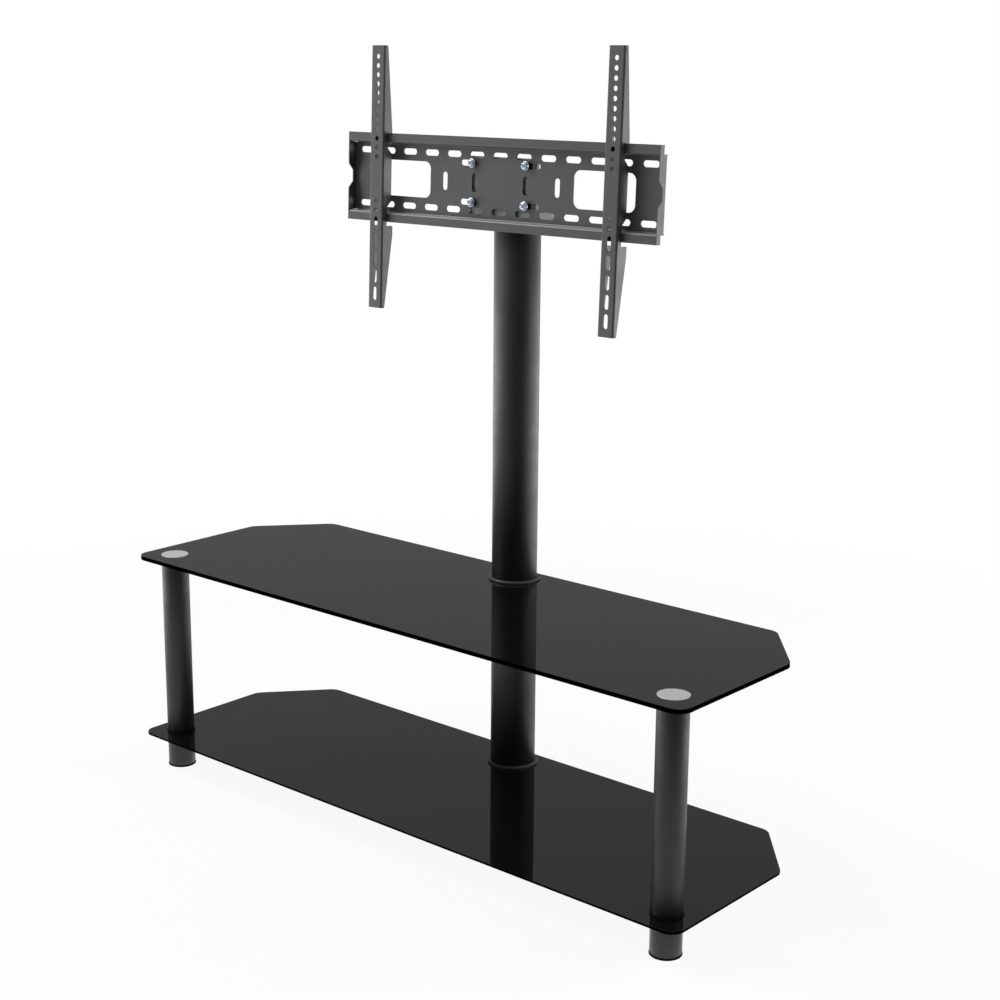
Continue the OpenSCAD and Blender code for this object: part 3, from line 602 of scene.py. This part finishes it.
def screw_head_mesh():
    """One head, cut once and shared by the four screws."""
    profile = [(0, 0.0), (SCREW_HEAD_R - FLANGE_CHAMFER, 0.0), (SCREW_HEAD_R, FLANGE_CHAMFER),
               (SCREW_HEAD_R, FLANGE_H), (SCREW_HEAD_R - FLANGE_ROUND, FLANGE_H + FLANGE_ROUND),
               (NECK_R, NECK_H)]
    for k in range(DOME_STEPS):
        angle = math.pi / 2 * k / DOME_STEPS
        rise = (SCREW_HEAD_H - DOME_LOW) * math.sin(angle) ** DOME_POWER
        profile.append((DOME_R * math.cos(angle) ** DOME_POWER, DOME_LOW + rise))
    profile.append((0, SCREW_HEAD_H))
    bm = bmesh.new()
    lathe(bm, profile)
    head = new_object("screw_head", bm, "zinc_steel")
    cut_with(head, cross_cutter())
    mesh = head.data
    bpy.data.objects.remove(head)
    return mesh


HEAD_MESH = screw_head_mesh()

for name, turn in CROSS_TURNS.items():
    side = -1 if "left" in name else 1
    row = 1 if "upper" in name else -1
    bm = bmesh.new()
    bm.from_mesh(HEAD_MESH)
    bmesh.ops.rotate(bm, verts=bm.verts, cent=(0, 0, 0), matrix=Matrix.Rotation(turn, 3, "Z"))
    cylinder(bm, SCREW_R, -PLAIN_SHANK, LAP, SCREW_STEPS)
    thread(bm, SCREW_R, -SCREW_SHANK + 2 * LAP, LAP - PLAIN_SHANK, *SCREW_THREAD, SCREW_STEPS)
    screw = new_object(name + "_zinc", bm, "zinc_steel", screw_place(side, row, -SLEEVE_L))
    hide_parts(name)
    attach(screw, "head")

bm = bmesh.new()
for side in (-1, 1):
    for row in (-1, 1):
        part = bmesh.new()
        hex_prism(part, SCREW_NUT_W, 0.0, SCREW_NUT_H, True, True, SCREW_R + THREAD_SLACK)
        turn = Matrix.Rotation(NUT_TURN_BY_SIDE * side + NUT_TURN_BY_ROW * row, 3, "Z")
        bmesh.ops.rotate(part, verts=part.verts, cent=(0, 0, 0), matrix=turn)
        part.transform(screw_place(side, row, PLATE_BACK + SCREW_NUT_H))
        absorb(bm, part)
nuts = new_object("rail_nuts", bm, "zinc_steel")
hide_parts("screw_nuts")
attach(nuts, "head")


# Tilt bolt and its nut, swivel bolt. Each bolt's head stands on a thin round face.

FACE_H = 0.0004
TILT_HEX_W, TILT_HEAD_H, TILT_FACE_R, TILT_NUT_H = 0.016, 0.0064, 0.0076, 0.008
TILT_SHANK_IN = 0.001
TILT_PLAIN_END, TILT_END = 0.044, 0.0656
TILT_THREAD = (0.0015, 0.00065)
SWIVEL_HEX_W, SWIVEL_HEAD_H, SWIVEL_FACE_R = 0.018, 0.0075, 0.0086
SWIVEL_THREAD_L = 0.018
SWIVEL_THREAD = (0.00175, 0.00075)
ALONG_X = Matrix.Translation((0, COLUMN_Y, TILT_Z)) @ Matrix.Rotation(math.pi / 2, 4, "Y")
UP = Matrix.Translation((0, COLUMN_Y, YOKE_FLOOR_Z))

bm = bmesh.new()
hex_prism(bm, TILT_HEX_W, -YOKE_HALF - TILT_HEAD_H, -YOKE_HALF - FACE_H, True, False)
cylinder(bm, TILT_FACE_R, -YOKE_HALF - FACE_H - LAP, -YOKE_HALF)
cylinder(bm, TILT_BOLT_R, -YOKE_HALF - TILT_SHANK_IN, TILT_PLAIN_END, BOLT_STEPS)
thread(bm, TILT_BOLT_R, TILT_PLAIN_END - LAP, TILT_END, *TILT_THREAD, BOLT_STEPS)
tilt_bolt = new_object("tilt_bolt_zinc", bm, "zinc_steel", ALONG_X)
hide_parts("tilt_bolt")
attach(tilt_bolt, "yoke")

bm = bmesh.new()
hex_prism(bm, TILT_HEX_W, YOKE_HALF, YOKE_HALF + TILT_NUT_H, True, True,
          TILT_BOLT_R + THREAD_SLACK)
tilt_nut = new_object("tilt_nut_zinc", bm, "zinc_steel", ALONG_X)
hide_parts("tilt_nut")
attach(tilt_nut, "yoke")

swivel_low = SWIVEL_END_Z - YOKE_FLOOR_Z
swivel_plain = swivel_low + SWIVEL_THREAD_L
bm = bmesh.new()
hex_prism(bm, SWIVEL_HEX_W, FACE_H, SWIVEL_HEAD_H, False, True)
cylinder(bm, SWIVEL_FACE_R, 0.0, FACE_H + LAP)
cylinder(bm, SWIVEL_BOLT_R, swivel_plain, LAP, BOLT_STEPS)
thread(bm, SWIVEL_BOLT_R, swivel_low, swivel_plain + LAP, *SWIVEL_THREAD, BOLT_STEPS)
swivel_bolt = new_object("swivel_bolt_zinc", bm, "zinc_steel", UP)
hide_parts("swivel_bolt")
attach(swivel_bolt, "yoke")


# Thin rubber rims round the feet, just above the floor

RIM_LOW, RIM_H, RIM_OUT, RIM_IN = 0.0002, 0.0034, 0.0009, 0.0004
RIM_SECTION = ((0.0003, RIM_LOW), (0.0, 0.0007), (0.0, RIM_H - 0.0009),
               (0.0004, RIM_H - 0.0002))  # insets from the outer radius, and heights
RIM_WELD = 0.000001
COLUMN_RIM_R = 0.0434  # a little inside the face of the column's foot
RIMS = ((-LEG_X, LEG_Y, LEG_FOOT_R), (LEG_X, LEG_Y, LEG_FOOT_R), (0.0, COLUMN_Y, COLUMN_RIM_R))

bm = bmesh.new()
for x, y, radius in RIMS:
    ring = bmesh.new()
    inner, outer = radius - RIM_IN, radius + RIM_OUT
    section = [(outer - inset, height) for inset, height in RIM_SECTION]
    lathe(ring, [(inner, RIM_LOW)] + section + [(inner, RIM_H), (inner, RIM_LOW)], RIM_STEPS)
    ring.transform(Matrix.Translation((x, y, 0.0)))
    absorb(bm, ring)
bmesh.ops.remove_doubles(bm, verts=bm.verts, dist=RIM_WELD)
rims = new_object("foot_rims", bm, "black_rubber")
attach(rims, "stand")


# Weld beads where the ears meet the head plate

BEAD_R = 0.0032
BEAD_HALF = 0.0262
BEAD_STEP = 0.0006
BEAD_AROUND = 8
BEAD_SMOOTH_ANGLE = 50.0
RIPPLE, RIPPLE_TURN = 0.18, 0.62
BEAD_END, BEAD_END_STEPS = 0.45, 5


def bead(bm, x, side, low, high, y):
    """A row of overlapping ripples in the corner between ear and plate, in the head's frame."""
    steps = int((high - low) / BEAD_STEP)
    rings = []
    for i in range(steps + 1):
        z = low + (high - low) * i / steps
        end = min(1.0, i / BEAD_END_STEPS, (steps - i) / BEAD_END_STEPS)
        ripple = 1.0 - RIPPLE + RIPPLE * abs(math.sin(i * RIPPLE_TURN))
        r = BEAD_R * ripple * (BEAD_END + (1.0 - BEAD_END) * end)
        ring = []
        for k in range(BEAD_AROUND + 1):
            angle = math.pi / 2 * k / BEAD_AROUND
            ring.append(bm.verts.new((x + side * r * math.cos(angle), y + r * math.sin(angle), z)))
        ring.append(bm.verts.new((x, y, z)))
        rings.append(ring)
    for a, b in zip(rings, rings[1:]):
        bridge(bm, a, b)
    bm.faces.new(rings[0])
    bm.faces.new(rings[-1][::-1])


bm = bmesh.new()
for side in (-1, 1):
    for face in (-1, 1):
        x = side * EAR_X + face * (HEAD_T / 2 - LAP)
        bead(bm, x, face, -RAIL_RISE - BEAD_HALF, -RAIL_RISE + BEAD_HALF, PLATE_BACK - LAP)
welds = new_object("ear_welds", bm, "head_paint", HEAD, BEAD_SMOOTH_ANGLE)
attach(welds, "head")


# Rounded edges of the CAD nodes that are still shown

for node_name, obj in NODES.items():
    slot = slot_of[node_name]
    if slot in BEVELS and not obj.hide_render:
        soften(obj, BEVELS[slot], 1 if slot == "black_glass" else -1)


# Floor and world: white straight on, pale for lamps, and a dark room for glossy rays

FLOOR_FULL, FLOOR_END = 1.5, 2.6
FLOOR_GREY, FLOOR_WHITE = 0.86, 0.92
FLOOR_SEGMENTS = 96
FLOOR_GLOSS, FLOOR_LEFT_GLOSS, FLOOR_RIGHT_GLOSS = 1.1, 0.4, 0.5
FLOOR_LEFT, FLOOR_RIGHT = (-0.7, -1.3), (0.5, 1.1)  # where a side's share starts and is full
LEFT_GLOSS, RIGHT_GLOSS = 2.3, 5.2
LEFT_FADE, RIGHT_RISE, BEHIND_FADE = (-0.8, 0.8), (0.6, 0.9), (-1.0, -0.3)
CEILING_GLOSS, ZENITH_GLOW = 0.28, 1.0
HORIZON, ZENITH = (-0.01, 0.03), (0.6, 0.8)
ROOM_LIGHT = 0.09
DARK_AZIMUTH = math.radians(55)
DARK_WAY = (math.sin(DARK_AZIMUTH), -math.cos(DARK_AZIMUTH), 0.0)
RIGHT_WAY = (math.cos(DARK_AZIMUTH), math.sin(DARK_AZIMUTH), 0.0)


def rays(g):
    """Two masks: rays that look straight at a surface, also through glass, and glossy rays."""
    path = g.add("ShaderNodeLightPath").outputs
    straight = g.math("MAXIMUM", path["Is Camera Ray"], path["Is Transmission Ray"])
    return straight, path["Is Glossy Ray"]


floor_mat, g = new_material("floor")
place = g.objects_place()
plain = g.add("ShaderNodeBsdfDiffuse", {"Color": grey(FLOOR_GREY)}).outputs[0]
straight, glossy = rays(g)
across = g.vector("DOT_PRODUCT", place, RIGHT_WAY)
sides = g.math("ADD", g.ramp(across, *FLOOR_LEFT, 0.0, FLOOR_LEFT_GLOSS),
               g.ramp(across, *FLOOR_RIGHT, 0.0, FLOOR_RIGHT_GLOSS))
level = g.math("MULTIPLY", glossy, g.math("ADD", sides, FLOOR_GLOSS))
white = g.add("ShaderNodeEmission",
              {"Color": grey(1.0), "Strength": g.math("ADD", straight, level)})
white_share = g.math("MAXIMUM", g.math("MULTIPLY", straight, FLOOR_WHITE), glossy)
lit = g.add("ShaderNodeMixShader", {0: white_share, 1: plain, 2: white.outputs[0]})
clear = g.add("ShaderNodeBsdfTransparent").outputs[0]
away = g.ramp(g.vector("LENGTH", place), FLOOR_FULL, FLOOR_END)
faded = g.add("ShaderNodeMixShader", {0: away, 1: lit.outputs[0], 2: clear})
g.add("ShaderNodeOutputMaterial", {"Surface": faded.outputs[0]})

bm = bmesh.new()
bmesh.ops.create_circle(bm, cap_ends=True, radius=FLOOR_END, segments=FLOOR_SEGMENTS)
mesh = mesh_from(bm, "floor")
mesh.materials.append(floor_mat)
floor = shown("floor", mesh)

world = bpy.data.worlds.new("studio")
bpy.context.scene.world = world
world.use_nodes = True
g = Graph(world.node_tree)
straight, glossy = rays(g)
direction = g.add("ShaderNodeTexCoord").outputs["Generated"]
flat = g.vector("NORMALIZE", g.vector("MULTIPLY", direction, (1.0, 1.0, 0.0)))
toward = g.vector("DOT_PRODUCT", flat, DARK_WAY)
sideways = g.vector("DOT_PRODUCT", flat, RIGHT_WAY)
up = g.add("ShaderNodeSeparateXYZ", {0: direction}).outputs[2]
apart = g.math("SUBTRACT", 1.0, toward)
left_room = g.math("MULTIPLY", g.math("MULTIPLY", apart, apart),
                   g.ramp(toward, *BEHIND_FADE, 0.5, 1.0))
left_room = g.math("MULTIPLY", left_room, g.ramp(sideways, *LEFT_FADE, LEFT_GLOSS, 0.0))
low_room = g.math("ADD", left_room, g.ramp(sideways, *RIGHT_RISE, 0.0, RIGHT_GLOSS))
room = g.blend(g.ramp(up, *HORIZON), low_room, CEILING_GLOSS)
room = g.math("ADD", room, g.ramp(up, *ZENITH, 0.0, ZENITH_GLOW))
strength = g.math("ADD", g.math("MULTIPLY", glossy, room),
                  g.math("MULTIPLY", g.math("SUBTRACT", 1.0, glossy), ROOM_LIGHT))
total = g.blend(straight, strength, 1.0)
background = g.add("ShaderNodeBackground", {"Color": grey(1.0), "Strength": total})
g.add("ShaderNodeOutputWorld", {"Surface": background.outputs[0]})


# Camera, at the photograph's place

CAMERA = Vector((2.160105, -2.368619, 1.411374))
YAW, PITCH, ROLL = 0.714513, 0.239018, 0.0075495
LENS, SENSOR = 64.75, 36
CLIP_START, CLIP_END = 0.05, 60

forward = Vector((-math.sin(YAW) * math.cos(PITCH), math.cos(YAW) * math.cos(PITCH),
                  -math.sin(PITCH)))
right = Vector((math.cos(YAW), math.sin(YAW), 0))
upward = right.cross(forward)
turned_right = math.cos(ROLL) * right + math.sin(ROLL) * upward
turned_up = -math.sin(ROLL) * right + math.cos(ROLL) * upward
lens = bpy.data.cameras.new("camera")
lens.lens = LENS
lens.sensor_width = SENSOR
lens.clip_start = CLIP_START
lens.clip_end = CLIP_END
camera = shown("camera", lens)
axes = Matrix((turned_right, turned_up, -forward)).transposed()
camera.matrix_world = Matrix.Translation(CAMERA) @ axes.to_4x4()
bpy.context.scene.camera = camera
bpy.context.scene.view_settings.view_transform = "Standard"


# Lamps. The side lamps stand square to the photograph's line of sight.

SIDE_AWAY = 3.1
SIDE_UP = Vector((0, 0, 1.3))
SIDE_TARGET = (0, 0, 0.75)
SIDE_SIZE = (2.2, 2.6)


def softbox(name, place, target, size, radiance, glossy):
    """A rectangular area lamp. Reflections show it only if glossy is true."""
    width, height = size
    lamp = bpy.data.lights.new(name, "AREA")
    lamp.shape = "RECTANGLE"
    lamp.size = width
    lamp.size_y = height
    lamp.energy = radiance * math.pi * width * height
    obj = shown(name, lamp)
    obj.location = place
    toward = Vector(target) - Vector(place)
    obj.rotation_euler = toward.to_track_quat("-Z", "Y").to_euler()
    obj.visible_glossy = glossy
    obj.visible_camera = False


softbox("right_softbox", right * SIDE_AWAY + SIDE_UP, SIDE_TARGET, SIDE_SIZE, 5.6, False)
softbox("left_softbox", right * -SIDE_AWAY + SIDE_UP, SIDE_TARGET, SIDE_SIZE, 0.2, False)
softbox("key_softbox", (-2.3, -1.3, 3.2), (0, 0, 1.0), (1.9, 1.9), 9.0, True)
softbox("front_softbox", (-0.45, -3.16, 1.9), (0, 0, 0.9), (2.0, 1.6), 2.0, False)
softbox("top_softbox", (0.2, -0.5, 3.9), (0, 0, 0.6), (3.0, 2.6), 0.15, True)

bpy.context.view_layer.update()
